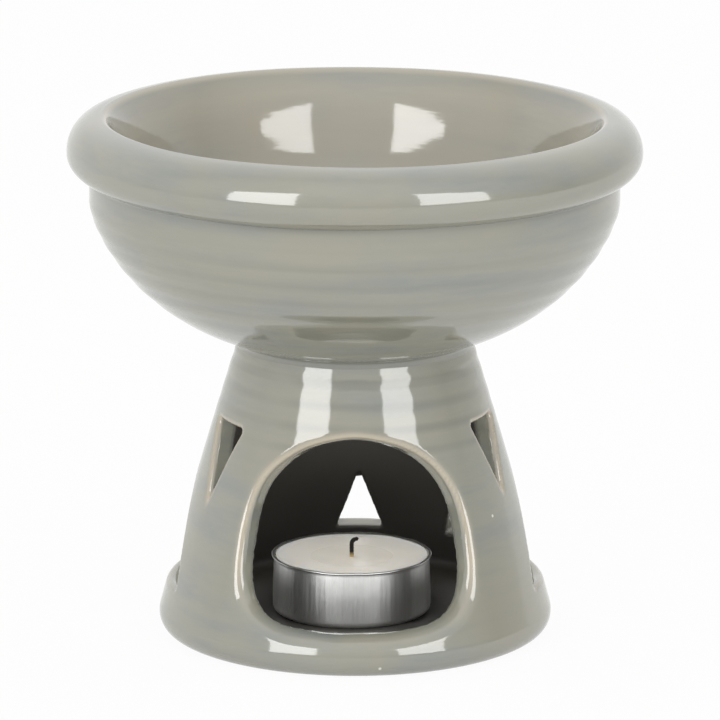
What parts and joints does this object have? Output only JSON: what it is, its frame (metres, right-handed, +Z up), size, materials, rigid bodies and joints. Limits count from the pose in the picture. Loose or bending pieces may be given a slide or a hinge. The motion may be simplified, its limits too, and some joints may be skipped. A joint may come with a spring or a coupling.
{
  "type": "essential oil burner",
  "caption": "Glazed stoneware oil burner: a deep bowl with a rolled rim on a pierced conical stand, with an arched opening where a tealight slides in to warm the oil.",
  "frame": {"origin": "on the table, on the axis of the bowl and the stand", "axes": "+Z up along the axis of the bowl, -Y out of the arched opening, +X to the right when it is seen from the front"},
  "size_m": [0.1346, 0.1346, 0.1237],
  "materials": {
    "glaze": "thrown stoneware under a glossy warm grey glaze",
    "cup_foil": "bright drawn foil",
    "wax": "set paraffin, slightly translucent",
    "wick": "braided cotton, charred at its tip",
    "tinplate": "plain tinplate"
  },
  "bodies": {
    "burner": {"bowl": "glaze", "stand": "glaze", "luting_seam": "glaze"},
    "tealight": {"tealight_cup": "cup_foil"},
    "candle": {"wax": "wax", "wick": "wick", "wick_sustainer": "tinplate"}
  },
  "joints": [
    {"name": "tealight_draw", "type": "slide", "parent": "burner", "child": "tealight", "axis": [0, -0.9511, 0.309], "range_m": [0, 0.074]},
    {"name": "candle_lift", "type": "slide", "parent": "tealight", "child": "candle", "axis": [0, 0, 1], "range_m": [0, 0.018]}
  ]
}
